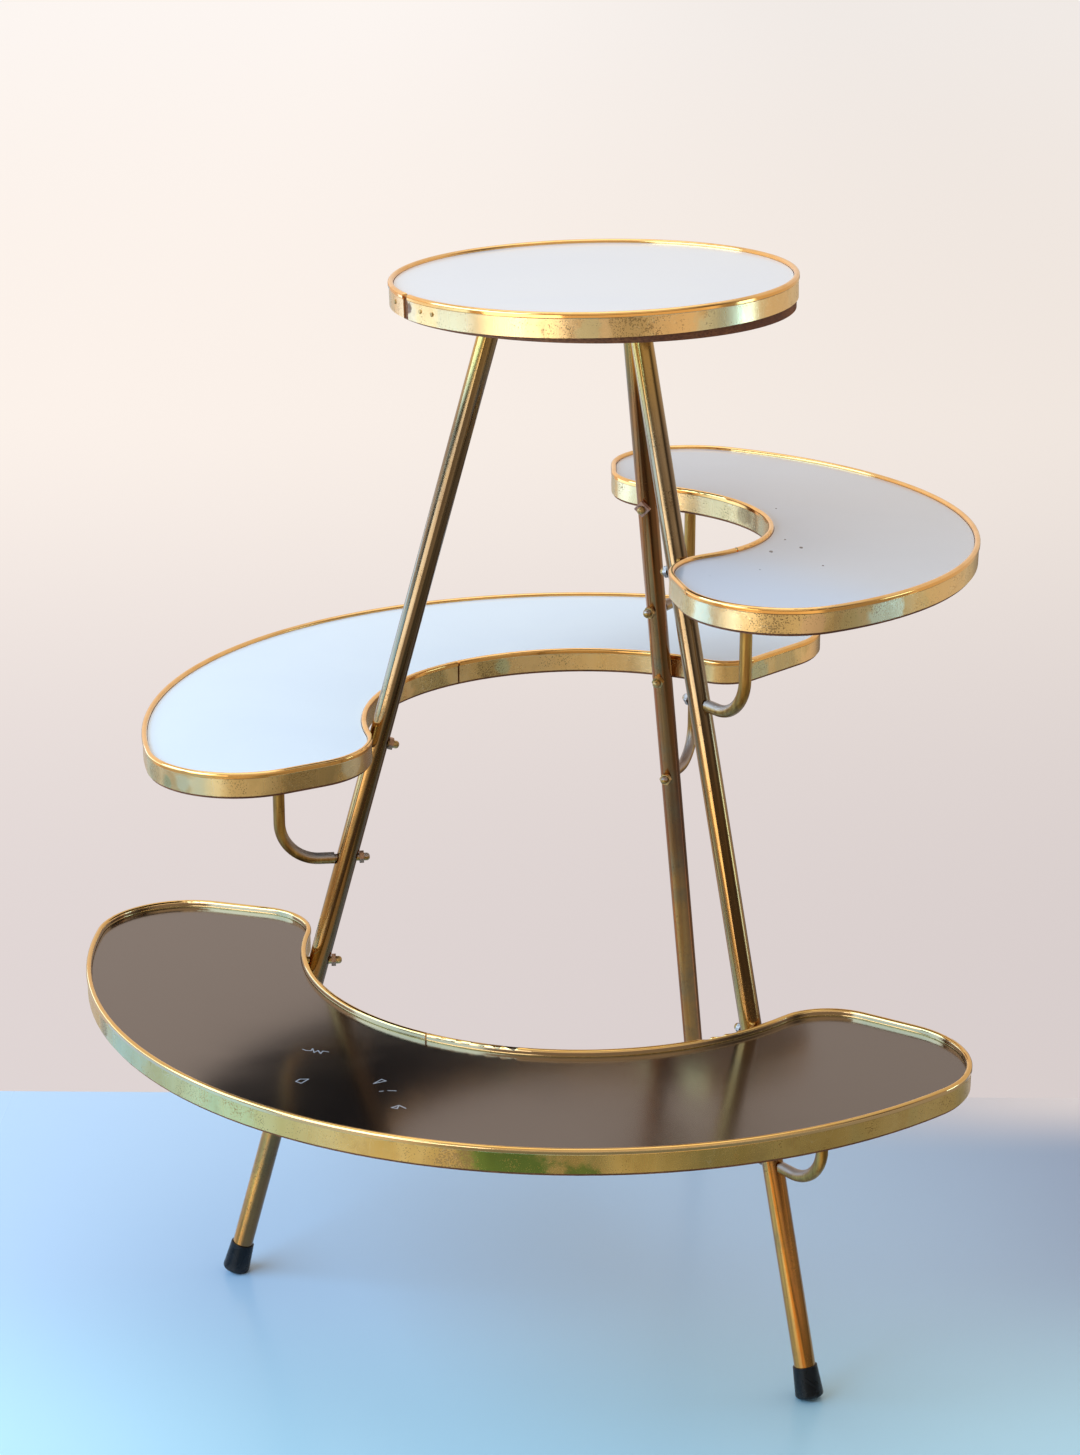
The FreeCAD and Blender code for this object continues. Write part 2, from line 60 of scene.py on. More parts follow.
class Nodes:
    """Short calls that add shader nodes to a material or a group and return their output."""

    def __init__(self, tree):
        self.tree = tree

    def put(self, socket, value):
        if isinstance(value, bpy.types.NodeSocket):
            self.tree.links.new(value, socket)
        else:
            socket.default_value = value

    def add(self, kind, inputs=None, **settings):
        made = self.tree.nodes.new("ShaderNode" + kind)
        for name, value in settings.items():
            setattr(made, name, value)
        for name, value in (inputs or {}).items():
            self.put(made.inputs[name], value)
        return made

    def sum(self, operation, a, b=0.0, c=0.0, clamp=False):
        made = self.add("Math", {0: a, 1: b, 2: c}, operation=operation, use_clamp=clamp)
        return made.outputs[0]

    def vector(self, operation, a, b=(0.0, 0.0, 0.0)):
        made = self.add("VectorMath", {0: a, 1: b}, operation=operation)
        return made.outputs["Value" if operation in ("DOT_PRODUCT", "LENGTH", "DISTANCE") else "Vector"]

    def scaled(self, vector, factor):
        made = self.add("VectorMath", {0: vector, "Scale": factor}, operation="SCALE")
        return made.outputs["Vector"]

    def mix(self, share, a, b, blend="MIX"):
        made = self.add("Mix", data_type="RGBA", blend_type=blend)
        for socket, value in zip((made.inputs[0], made.inputs[6], made.inputs[7]), (share, a, b)):
            self.put(socket, value)
        return made.outputs[2]

    def spread(self, value, low, high, to_low=0.0, to_high=1.0):
        """Where the value lies between low and high, eased at both ends."""
        made = self.add("MapRange", {0: value, 1: low, 2: high, 3: to_low, 4: to_high})
        made.interpolation_type = "SMOOTHSTEP"
        return made.outputs[0]

    def noise(self, vector, scale, detail=2.0, rough=0.5, warp=0.0):
        made = self.add("TexNoise", {"Vector": vector, "Scale": scale, "Detail": detail,
                                     "Roughness": rough, "Distortion": warp})
        return made.outputs[0]

    def group(self, group, inputs):
        made = self.tree.nodes.new("ShaderNodeGroup")
        made.node_tree = group
        for name, value in inputs.items():
            self.put(made.inputs[name], value)
        return made.outputs


SOCKETS = {"vector": "NodeSocketVector", "value": "NodeSocketFloat", "colour": "NodeSocketColor"}


def new_group(name, inputs, outputs):
    """An empty shader group with these named sockets, its inputs and a call that sets an output."""
    group = bpy.data.node_groups.new(name, "ShaderNodeTree")
    for label, kind in inputs.items():
        group.interface.new_socket(label, in_out="INPUT", socket_type=SOCKETS[kind])
    for label, kind in outputs.items():
        group.interface.new_socket(label, in_out="OUTPUT", socket_type=SOCKETS[kind])
    entry = group.nodes.new("NodeGroupInput").outputs
    leave = group.nodes.new("NodeGroupOutput").inputs
    return group, Nodes(group), entry, lambda label, value: group.links.new(value, leave[label])


def make_drawn_out():
    """Texture place drawn out along an axis, so that a noise makes streaks that run with it."""
    group, n, entry, give = new_group(
        "drawn_out", {"Vector": "vector", "Axis": "vector", "Stretch": "value"}, {"Vector": "vector"})
    along = n.vector("DOT_PRODUCT", entry["Vector"], entry["Axis"])
    keep = n.sum("DIVIDE", 1.0, entry["Stretch"])
    taken = n.sum("MULTIPLY", along, n.sum("SUBTRACT", 1.0, keep))
    give("Vector", n.vector("SUBTRACT", entry["Vector"], n.scaled(entry["Axis"], taken)))
    return group


def make_tarnish_specks():
    """Small round specks of tarnish, uneven in size and mostly in clusters."""
    group, n, entry, give = new_group(
        "tarnish_specks",
        {"Vector": "vector", "Speck Scale": "value", "Cluster Scale": "value", "Cover": "value"},
        {"Mask": "value"})
    dots = n.add("TexVoronoi", {"Vector": entry["Vector"], "Scale": entry["Speck Scale"]})
    fine = n.noise(entry["Vector"], entry["Speck Scale"], 2.0, 0.6)
    level = n.sum("MULTIPLY", n.sum("SUBTRACT", fine, dots.outputs["Distance"]), 0.5)
    cluster = n.noise(entry["Vector"], entry["Cluster Scale"], 2.0, 0.5)
    level = n.sum("ADD", level, n.sum("MULTIPLY_ADD", cluster, 0.6, 0.5))
    edge = n.sum("SUBTRACT", 1.12, n.sum("MULTIPLY", entry["Cover"], 0.4))
    give("Mask", n.spread(level, edge, n.sum("ADD", edge, 0.07)))
    return group


def make_scratches():
    """Fine scratches: thin lines where a drawn-out noise passes through its middle value."""
    group, n, entry, give = new_group(
        "scratches",
        {"Vector": "vector", "Scale": "value", "Fineness": "value", "Cover": "value"},
        {"Mask": "value"})
    level = n.noise(entry["Vector"], entry["Scale"], 1.0, 0.4, 0.6)
    line = n.sum("ABSOLUTE", n.sum("SUBTRACT", level, 0.5))
    thin = n.spread(line, 0.0, entry["Fineness"], 1.0, 0.0)
    where = n.noise(entry["Vector"], n.sum("MULTIPLY", entry["Scale"], 0.31), 2.0)
    edge = n.sum("SUBTRACT", 0.85, n.sum("MULTIPLY", entry["Cover"], 0.6))
    give("Mask", n.sum("MULTIPLY", thin, n.spread(where, edge, n.sum("ADD", edge, 0.1))))
    return group


def make_smudges():
    """Broad faint smudges and dust that change how polished a surface is."""
    group, n, entry, give = new_group(
        "smudges", {"Vector": "vector", "Scale": "value"}, {"Level": "value", "Dust": "value"})
    broad = n.noise(entry["Vector"], entry["Scale"], 4.0, 0.6, 0.8)
    give("Level", n.spread(broad, 0.35, 0.7))
    grain = n.noise(entry["Vector"], n.sum("MULTIPLY", entry["Scale"], 90.0), 1.0)
    give("Dust", n.spread(grain, 0.72, 0.8))
    return group


def make_stroke():
    """One short ragged stroke rubbed into a top, from its start, its way, its length and its width."""
    group, n, entry, give = new_group(
        "stroke",
        {"Vector": "vector", "Start": "vector", "Way": "vector", "Length": "value", "Width": "value"},
        {"Mask": "value"})
    off = n.vector("SUBTRACT", entry["Vector"], entry["Start"])
    along = n.sum("MAXIMUM", n.vector("DOT_PRODUCT", off, entry["Way"]), 0.0)
    along = n.sum("MINIMUM", along, entry["Length"])
    away = n.vector("LENGTH", n.vector("SUBTRACT", off, n.scaled(entry["Way"], along)))
    ragged = n.sum("SUBTRACT", n.noise(entry["Vector"], 1600.0, 2.0), 0.5)
    away = n.sum("ADD", away, n.sum("MULTIPLY", ragged, n.sum("MULTIPLY", entry["Width"], 1.4)))
    give("Mask", n.spread(away, n.sum("MULTIPLY", entry["Width"], 0.45), entry["Width"], 1.0, 0.0))
    return group


DRAWN_OUT = make_drawn_out()
TARNISH_SPECKS = make_tarnish_specks()
SCRATCHES = make_scratches()
SMUDGES = make_smudges()
STROKE = make_stroke()


def new_finish(name):
    """A material with one main shader, its node calls and the place on the object."""
    finish = bpy.data.materials.new(name)
    finish.use_nodes = True
    n = Nodes(finish.node_tree)
    shader = finish.node_tree.nodes["Principled BSDF"]
    place = n.add("TexCoord").outputs["Object"]
    return finish, n, shader, place


def rgb(red, green, blue):
    return (red, green, blue, 1.0)


def bump(n, shader, height, strength, depth, normal=None):
    made = n.add("Bump", {"Height": height, "Strength": strength, "Distance": depth})
    if normal:
        n.put(made.inputs["Normal"], normal)
    n.put(shader.inputs["Normal"], made.outputs["Normal"])


# Bead along the top of every band: its height, how soon it turns into the face, and its crown's radius
BEAD_HEIGHT = 0.0046
BEAD_BLEND = 0.0008
CROWN_RADIUS = 0.0021

# Paler and deeper gold of each band's face, and the tones of its bead's flanks and crown
BAND_TONES = {
    "tray": (rgb(0.93, 0.70, 0.42), rgb(0.84, 0.60, 0.30), rgb(0.94, 0.52, 0.17), rgb(0.97, 0.63, 0.27)),
    "upper": (rgb(0.87, 0.67, 0.39), rgb(0.79, 0.57, 0.27), rgb(0.94, 0.52, 0.17), rgb(0.97, 0.63, 0.27)),
    "middle": (rgb(0.92, 0.69, 0.37), rgb(0.86, 0.60, 0.27), rgb(0.94, 0.52, 0.17), rgb(0.97, 0.63, 0.27)),
    "lower": (rgb(0.88, 0.68, 0.32), rgb(0.76, 0.54, 0.20), rgb(0.86, 0.64, 0.38), rgb(0.76, 0.49, 0.17)),
}

# Patina and wear of all the bands
OLIVE_CLOUD = rgb(0.66, 0.64, 0.34)
BROWN_CLOUD = rgb(0.56, 0.37, 0.15)
BROWN_SPECKS = rgb(0.31, 0.19, 0.08)
RUBBED_GOLD = rgb(0.95, 0.80, 0.52)
DEEP_BEAD = rgb(0.80, 0.44, 0.11)
SPECK_COVER = 0.42

# Patches on the bands' faces, as middle, reach, strength, colour and added specks: green and brown patina,
# and pale cream, mint and orange patches that are painted highlights and painted reflections of the windows
# and the warm wall
BAND_PATCHES = {
    "tray": (
        ((-0.069, -0.066, 0.786), 0.018, 0.9, rgb(0.99, 0.64, 0.26), 0.0),
        ((-0.048, -0.088, 0.786), 0.018, 0.6, rgb(0.99, 0.74, 0.40), 0.0),
        ((0.024, -0.124, 0.787), 0.015, 0.45, rgb(0.58, 0.39, 0.17), 0.6),
        ((0.047, -0.125, 0.787), 0.011, 0.5, rgb(0.62, 0.66, 0.42), 0.0),
        ((0.074, -0.123, 0.787), 0.016, 0.45, rgb(0.58, 0.40, 0.17), 0.6),
        ((0.108, -0.113, 0.788), 0.020, 0.7, rgb(0.95, 0.62, 0.30), 0.0),
        ((0.138, -0.096, 0.791), 0.024, 0.6, rgb(0.68, 0.72, 0.53), 0.0),
        ((0.182, -0.046, 0.793), 0.024, 0.6, rgb(0.98, 0.66, 0.34), 0.0),
        ((-0.090, -0.030, 0.786), 0.016, 0.8, rgb(0.99, 0.62, 0.27), 0.0),
        ((-0.081, -0.047, 0.786), 0.006, 0.9, rgb(0.14, 0.05, 0.025), 0.3),
    ),
    "middle": (
        ((-0.270, -0.083, 0.448), 0.012, 0.5, rgb(0.50, 0.38, 0.20), 0.5),
        ((-0.259, -0.096, 0.446), 0.009, 0.6, rgb(0.36, 0.50, 0.30), 0.3),
        ((-0.248, -0.105, 0.448), 0.010, 0.5, rgb(0.80, 0.84, 0.60), 0.0),
        ((-0.228, -0.114, 0.448), 0.018, 0.6, rgb(0.99, 0.82, 0.48), 0.0),
        ((-0.205, -0.116, 0.454), 0.014, 0.3, rgb(0.62, 0.44, 0.20), 0.5),
        ((-0.155, -0.096, 0.448), 0.030, 0.65, rgb(0.50, 0.37, 0.17), 0.2),
        ((-0.126, -0.073, 0.450), 0.012, 0.6, rgb(0.92, 0.86, 0.66), 0.0),
        ((-0.115, -0.050, 0.450), 0.012, 0.6, rgb(0.98, 0.70, 0.48), 0.0),
        ((-0.079, 0.139, 0.444), 0.022, 0.6, rgb(0.44, 0.37, 0.17), 0.4),
        ((-0.032, 0.176, 0.450), 0.016, 0.6, rgb(0.50, 0.38, 0.16), 0.4),
        ((-0.021, 0.181, 0.450), 0.008, 0.7, rgb(0.60, 0.74, 0.52), 0.0),
        ((0.187, 0.177, 0.446), 0.014, 0.7, rgb(0.56, 0.66, 0.50), 0.0),
        ((0.208, 0.200, 0.445), 0.018, 0.5, rgb(0.52, 0.44, 0.24), 0.2),
        ((0.232, 0.228, 0.447), 0.018, 0.7, rgb(1.00, 0.66, 0.36), 0.0),
    ),
    "upper": (
        ((0.166, 0.090, 0.600), 0.011, 0.6, rgb(0.30, 0.21, 0.11), 0.4),
        ((0.125, -0.182, 0.600), 0.016, 0.75, rgb(0.86, 0.88, 0.66), 0.0),
        ((0.143, -0.197, 0.600), 0.012, 0.6, rgb(1.00, 0.88, 0.56), 0.0),
        ((0.172, -0.208, 0.600), 0.022, 0.45, rgb(0.66, 0.47, 0.22), 0.35),
        ((0.201, -0.203, 0.598), 0.012, 0.55, rgb(0.84, 0.55, 0.36), 0.0),
        ((0.226, -0.189, 0.598), 0.012, 0.4, rgb(0.66, 0.58, 0.28), 0.0),
        ((0.254, -0.165, 0.598), 0.020, 0.85, rgb(0.88, 0.97, 0.82), 0.0),
        ((0.304, -0.101, 0.597), 0.040, 0.6, rgb(0.97, 0.64, 0.30), 0.0),
    ),
    "lower": (
        ((-0.004, -0.364, 0.262), 0.036, 0.9, rgb(0.20, 0.36, 0.09), 0.0),
        ((0.046, -0.363, 0.262), 0.016, 0.85, rgb(0.22, 0.36, 0.09), 0.0),
        ((-0.045, -0.362, 0.262), 0.022, 0.5, rgb(0.62, 0.42, 0.18), 0.7),
        ((-0.300, -0.170, 0.264), 0.050, 0.4, rgb(0.62, 0.74, 0.50), 0.0),
        ((-0.308, -0.135, 0.267), 0.012, 0.6, rgb(0.45, 0.33, 0.20), 0.5),
    ),
}


def top_plane(name):
    """Direction square to a top, and how far along it the crown of its band lies."""
    flat = max(NODES[name + "_laminate"].data.polygons, key=lambda face: face.area * face.normal.z)
    square = flat.normal.normalized()
    return square, max(v.co.dot(square) for v in NODES[name + "_band"].data.vertices)


def round_crown(n, square, below):
    """Normal of a band, worked out from the depth below its crown where the bead is round."""
    seen = n.add("NewGeometry").outputs["Normal"]
    tilt = n.scaled(square, n.vector("DOT_PRODUCT", seen, square))
    sideways = n.vector("NORMALIZE", n.vector("SUBTRACT", seen, tilt))
    rise = n.sum("SUBTRACT", 1.0, n.sum("DIVIDE", below, CROWN_RADIUS), clamp=True)
    lean = n.sum("SQRT", n.sum("SUBTRACT", 1.0, n.sum("MULTIPLY", rise, rise)))
    turned = n.vector("ADD", n.scaled(sideways, lean), n.scaled(square, rise))
    pick = n.add("Mix", {0: n.sum("LESS_THAN", below, CROWN_RADIUS), 4: seen, 5: turned}, data_type="VECTOR")
    return pick.outputs[1]


def gold_with_patina_and_painted_light(n, name, place, upright, cloud):
    """Gold of a band's face with its clouds, patches of patina and patches of painted highlight and painted
    reflection, and how thickly specks cover it.
    """
    pale, deep = BAND_TONES[name][:2]
    gold = n.mix(n.spread(n.noise(upright, 17.0, 3.0, 0.6), 0.36, 0.66), deep, pale)
    green = n.noise(upright, 31.0, 3.0, 0.6, 0.4)
    gold = n.mix(n.spread(green, 0.52, 0.72, 0.0, 0.35), gold, OLIVE_CLOUD)
    gold = n.mix(n.spread(cloud, 0.5, 0.75, 0.0, 0.45), gold, BROWN_CLOUD)
    cover = SPECK_COVER
    # Patches lay patina, and painted highlights and painted reflections, over the gold
    for middle, reach, strength, colour, added in BAND_PATCHES[name]:
        away = n.vector("DISTANCE", place, middle)
        frayed = n.sum("MULTIPLY", n.sum("SUBTRACT", cloud, 0.5), reach * 2.0)
        share = n.spread(n.sum("ADD", away, frayed), reach * 0.6, reach, strength, 0.0)
        gold = n.mix(share, gold, colour)
        cover = n.sum("MULTIPLY_ADD", share, added, cover)
    return gold, cover


def brass_band(name):
    """Thin brass edging: an orange gold bead above a pale gold face with specks, green patina, and patches of
    painted highlight and painted reflection.
    """
    finish, n, shader, place = new_finish("brass_band_" + name)
    shader.inputs["Metallic"].default_value = 1.0
    square, crown = top_plane(name)
    below = n.sum("SUBTRACT", crown, n.vector("DOT_PRODUCT", place, square))
    face = n.spread(below, BEAD_HEIGHT - BEAD_BLEND, BEAD_HEIGHT)
    upright = n.group(DRAWN_OUT, {"Vector": place, "Axis": square, "Stretch": 5.0})["Vector"]
    cloud = n.noise(place, 46.0, 5.0, 0.66)
    gold, cover = gold_with_patina_and_painted_light(n, name, place, upright, cloud)
    specks = n.group(TARNISH_SPECKS, {"Vector": place, "Speck Scale": 780.0, "Cluster Scale": 60.0,
                                      "Cover": cover})["Mask"]
    gold = n.mix(n.sum("MULTIPLY", specks, 0.7), gold, BROWN_SPECKS)
    rubbed = n.group(SCRATCHES, {"Vector": place, "Scale": 120.0, "Fineness": 0.014, "Cover": 0.6})["Mask"]
    gold = n.mix(n.sum("MULTIPLY", rubbed, 0.5), gold, RUBBED_GOLD)
    flank, crest = BAND_TONES[name][2:]
    bead = n.mix(n.spread(cloud, 0.4, 0.7, 0.0, 0.5), crest, DEEP_BEAD)
    bead = n.mix(n.spread(below, CROWN_RADIUS * 0.4, CROWN_RADIUS * 0.8), bead, flank)
    n.put(shader.inputs["Base Color"], n.mix(face, bead, gold))
    polish = n.spread(n.noise(upright, 23.0, 4.0, 0.6), 0.3, 0.7, 0.18, 0.32)
    polish = n.sum("ADD", polish, n.sum("MULTIPLY", specks, 0.25), clamp=True)
    n.put(shader.inputs["Roughness"], n.spread(face, 0.0, 1.0, 0.11, polish))
    waves = n.noise(upright, 24.0, 2.0, 0.5)
    pits = n.sum("MULTIPLY", n.sum("ADD", specks, rubbed), -0.02)
    height = n.sum("MULTIPLY", n.sum("ADD", waves, pits), face)
    bump(n, shader, height, 0.16, 0.004, round_crown(n, square, below))
    return finish


# Deeper and paler brown of each leg, first low down, then above the middle shelf
LEG_TONES = {
    "left": (rgb(0.36, 0.19, 0.060), rgb(0.52, 0.31, 0.10), rgb(0.20, 0.140, 0.078), rgb(0.31, 0.24, 0.150)),
    "right": (rgb(0.38, 0.19, 0.056), rgb(0.54, 0.31, 0.09), rgb(0.25, 0.170, 0.090), rgb(0.38, 0.28, 0.165)),
    "rear": (rgb(0.34, 0.12, 0.028), rgb(0.46, 0.17, 0.04), rgb(0.34, 0.130, 0.036), rgb(0.45, 0.175, 0.050)),
}

# How strongly painted shade darkens each leg's right side, and which way that side faces
LEG_PAINTED_SHADE = {"left": 0.75, "right": 0.42, "rear": 0.42}
SHADED_SIDE = (0.97, -0.24, 0.0)
PAINTED_SHADE_BROWN = rgb(0.10, 0.06, 0.03)

# Heights over which a leg's tone changes: above its foot, at the middle shelf, and under the tray, where
# painted gold stands for the tray's reflection
ABOVE_FOOT = (0.22, 0.30)
MIDDLE_SHELF = (0.42, 0.52)
TRAY_REFLECTION_HEIGHTS = (0.68, 0.77)


def tube_axis(tube):
    """Direction of a leaning tube, from the middle of its low end to the middle of its high end."""
    points = sorted((v.co for v in tube.data.vertices), key=lambda p: p.z)
    share = max(8, len(points) // 20)
    low = sum(points[:share], Vector()) / share
    high = sum(points[-share:], Vector()) / share
    return (high - low).normalized()


def tube_brown(n, leg, place, streaks):
    """Brown of a leg: streaked along it, golden above its foot, gold under the tray as a painted reflection
    of it, and darkest on its right side as painted shade.
    """
    low_deep, low_pale, deep, pale = LEG_TONES[leg]
    worn = n.spread(streaks, 0.35, 0.65)
    height = n.add("SeparateXYZ", {0: place}).outputs["Z"]
    low = n.mix(worn, low_deep, low_pale)
    brown = n.mix(n.spread(height, *MIDDLE_SHELF), low, n.mix(worn, deep, pale))
    golden = n.mix(worn, rgb(0.66, 0.25, 0.045), rgb(0.85, 0.36, 0.07))
    brown = n.mix(n.spread(height, *ABOVE_FOOT, 0.8, 0.0), brown, golden)
    cloud = n.noise(place, 38.0, 4.0, 0.6)
    brown = n.mix(n.spread(cloud, 0.42, 0.75, 0.0, 0.6), brown, rgb(0.27, 0.18, 0.08))
    # Painted reflection of the tray: the leg turns gold towards its top
    brown = n.mix(n.spread(height, *TRAY_REFLECTION_HEIGHTS, 0.0, 0.8), brown, rgb(0.70, 0.42, 0.08))
    # Painted shade: the leg's right side darkened to deep brown
    away = n.vector("DOT_PRODUCT", n.add("NewGeometry").outputs["Normal"], SHADED_SIDE)
    return n.mix(n.spread(away, -0.15, 0.35, 0.0, LEG_PAINTED_SHADE[leg]), brown, PAINTED_SHADE_BROWN)


def brass_tube(leg):
    """Lacquered brass tube gone brown, with paler streaks along the leg, small dark specks and painted shade
    on its right side.
    """
    finish, n, shader, place = new_finish("brass_tube_" + leg)
    shader.inputs["Metallic"].default_value = 1.0
    shader.inputs["Coat Weight"].default_value = 0.35
    shader.inputs["Coat Roughness"].default_value = 0.06
    axis = tube_axis(NODES["leg_" + leg])
    long = n.group(DRAWN_OUT, {"Vector": place, "Axis": axis, "Stretch": 30.0})["Vector"]
    streaks = n.noise(long, 260.0, 3.0, 0.6)
    brown = tube_brown(n, leg, place, streaks)
    specks = n.group(TARNISH_SPECKS, {"Vector": place, "Speck Scale": 700.0, "Cluster Scale": 40.0,
                                      "Cover": 0.4})["Mask"]
    brown = n.mix(n.sum("MULTIPLY", specks, 0.55), brown, rgb(0.12, 0.07, 0.03))
    n.put(shader.inputs["Base Color"], brown)
    polish = n.spread(streaks, 0.3, 0.7, 0.10, 0.16)
    n.put(shader.inputs["Roughness"], n.sum("ADD", polish, n.sum("MULTIPLY", specks, 0.15), clamp=True))
    bump(n, shader, streaks, 0.012, 0.0004)
    return finish


def brass_rod():
    """Bent brass rod, more golden than the legs, streaked, and painted with a pale grey sheen on top of its
    arm.
    """
    finish, n, shader, place = new_finish("brass_rod")
    shader.inputs["Metallic"].default_value = 1.0
    shader.inputs["Coat Weight"].default_value = 0.3
    shader.inputs["Coat Roughness"].default_value = 0.08
    long = n.group(DRAWN_OUT, {"Vector": place, "Axis": (0, 0, 1), "Stretch": 14.0})["Vector"]
    streaks = n.noise(long, 330.0, 3.0, 0.6)
    gold = n.mix(n.spread(streaks, 0.35, 0.7), rgb(0.31, 0.155, 0.036), rgb(0.51, 0.31, 0.08))
    specks = n.group(TARNISH_SPECKS, {"Vector": place, "Speck Scale": 800.0, "Cluster Scale": 60.0,
                                      "Cover": 0.32})["Mask"]
    gold = n.mix(n.sum("MULTIPLY", specks, 0.6), gold, rgb(0.15, 0.09, 0.03))
    # Painted sheen: upward faces turned pale grey, standing for a reflection
    facing = n.add("SeparateXYZ", {0: n.add("NewGeometry").outputs["Normal"]}).outputs["Z"]
    worn = n.spread(facing, 0.1, 0.6)
    gold = n.mix(n.sum("MULTIPLY", worn, 0.8), gold, rgb(0.54, 0.49, 0.47))
    n.put(shader.inputs["Base Color"], gold)
    polish = n.sum("MULTIPLY_ADD", worn, 0.25, n.spread(streaks, 0.3, 0.7, 0.30, 0.42))
    n.put(shader.inputs["Roughness"], n.sum("ADD", polish, n.sum("MULTIPLY", specks, 0.2), clamp=True))
    bump(n, shader, streaks, 0.03, 0.0005)
    return finish


# Small metal parts: bright, dull and grimy colours, roughness, and the nodes with that finish
FASTENERS = {
    "brass_fastener": (rgb(0.62, 0.42, 0.17), rgb(0.38, 0.24, 0.10), rgb(0.13, 0.08, 0.04), 0.3,
                       ("nuts_rear", "tray_tacks", *[shelf + "_rim_bolts" for shelf in SHELF_NAMES])),
    "browned_brass": (rgb(0.46, 0.27, 0.17), rgb(0.30, 0.17, 0.10), rgb(0.12, 0.06, 0.04), 0.36,
                      ("nuts_left",)),
    "dull_steel": (rgb(0.50, 0.42, 0.38), rgb(0.34, 0.29, 0.26), rgb(0.14, 0.11, 0.09), 0.4,
                   ("nuts_right", "tray_socket_left", "tray_socket_right", "tray_socket_rear",
                    "tray_socket_screws")),
    "rusty_steel": (rgb(0.56, 0.36, 0.29), rgb(0.38, 0.22, 0.17), rgb(0.13, 0.06, 0.04), 0.5,
                    ("square_nut",)),
}


def fastener(name, bright, dull, grime, roughness):
    """Small turned or stamped metal part, with a little grime in clusters."""
    finish, n, shader, place = new_finish(name)
    shader.inputs["Metallic"].default_value = 1.0
    cloud = n.noise(place, 330.0, 4.0, 0.65)
    colour = n.mix(n.spread(cloud, 0.35, 0.65), bright, dull)
    specks = n.group(TARNISH_SPECKS, {"Vector": place, "Speck Scale": 1500.0, "Cluster Scale": 240.0,
                                      "Cover": 0.5})["Mask"]
    n.put(shader.inputs["Base Color"], n.mix(n.sum("MULTIPLY", specks, 0.7), colour, grime))
    n.put(shader.inputs["Roughness"], n.spread(cloud, 0.3, 0.7, roughness, roughness + 0.15))
    bump(n, shader, n.noise(place, 900.0, 3.0), 0.12, 0.0003)
    return finish


def black_rubber():
    """Moulded rubber foot, dusty towards the floor."""
    finish, n, shader, place = new_finish("black_rubber")
    smudge = n.group(SMUDGES, {"Vector": place, "Scale": 60.0})
    height = n.add("SeparateXYZ", {0: place}).outputs["Z"]
    dusty = n.sum("MULTIPLY", n.spread(height, 0.0, 0.012, 1.0, 0.0), smudge["Level"])
    grey = n.mix(smudge["Level"], rgb(0.005, 0.007, 0.009), rgb(0.012, 0.014, 0.018))
    n.put(shader.inputs["Base Color"], n.mix(n.sum("MULTIPLY", dusty, 0.5), grey, rgb(0.12, 0.11, 0.10)))
    shader.inputs["Specular IOR Level"].default_value = 0.22
    n.put(shader.inputs["Roughness"], n.sum("ADD", n.sum("MULTIPLY", smudge["Level"], 0.14), 0.22))
    bump(n, shader, n.noise(place, 1500.0, 2.0), 0.1, 0.0003)
    return finish


def dark_board():
    """Fibre board, red brown and fuzzy along its sawn edge, near black underneath or bare."""
    finish, n, shader, place = new_finish("dark_board")
    flat = n.vector("MULTIPLY", place, (1.0, 1.0, 3.5))
    fibre = n.noise(flat, 420.0, 5.0, 0.7, 0.4)
    cloud = n.noise(place, 28.0, 3.0)
    brown = n.mix(n.spread(fibre, 0.3, 0.7), rgb(0.120, 0.036, 0.015), rgb(0.44, 0.160, 0.06))
    brown = n.mix(n.spread(cloud, 0.4, 0.75, 0.0, 0.6), brown, rgb(0.12, 0.045, 0.03))
    facing = n.add("SeparateXYZ", {0: n.add("NewGeometry").outputs["Normal"]}).outputs["Z"]
    under = n.spread(facing, -0.8, -0.4, 1.0, 0.0)
    # Underneath: near black, with bare board towards the right
    underside_colour = n.mix(n.spread(fibre, 0.3, 0.7), rgb(0.006, 0.004, 0.004), rgb(0.016, 0.009, 0.007))
    bare = n.mix(n.spread(fibre, 0.3, 0.7), rgb(0.64, 0.34, 0.18), rgb(0.86, 0.52, 0.30))
    across = n.add("SeparateXYZ", {0: place}).outputs["X"]
    underside_colour = n.mix(n.spread(n.sum("MULTIPLY_ADD", cloud, 0.1, across), 0.04, 0.16), underside_colour, bare)
    n.put(shader.inputs["Base Color"], n.mix(under, brown, underside_colour))
    shader.inputs["Specular IOR Level"].default_value = 0.25
    n.put(shader.inputs["Roughness"], n.spread(fibre, 0.3, 0.7, 0.6, 0.85))
    bump(n, shader, fibre, 0.5, 0.0006)
    return finish


def laminate(name, near, far, roughness):
    """Glossy plastic laminate: two close shades, faint smudges, dust and hairline scratches."""
    finish, n, shader, place = new_finish(name)
    smudge = n.group(SMUDGES, {"Vector": place, "Scale": 7.0})
    colour = n.mix(smudge["Level"], near, far)
    hair = n.group(SCRATCHES, {"Vector": place, "Scale": 34.0, "Fineness": 0.003, "Cover": 0.42})["Mask"]
    colour = n.mix(n.sum("MULTIPLY", hair, 0.12), colour, rgb(0.45, 0.46, 0.48))
    colour = n.mix(n.sum("MULTIPLY", smudge["Dust"], 0.05), colour, rgb(0.5, 0.48, 0.46))
    rough = n.sum("ADD", n.sum("MULTIPLY", smudge["Level"], 0.04), roughness)
    rough = n.sum("ADD", rough, n.sum("MULTIPLY", hair, 0.1))
    n.put(shader.inputs["Roughness"], rough)
    bump(n, shader, n.noise(place, 520.0, 2.0), 0.03, 0.0004)
    return finish, n, shader, place, colour


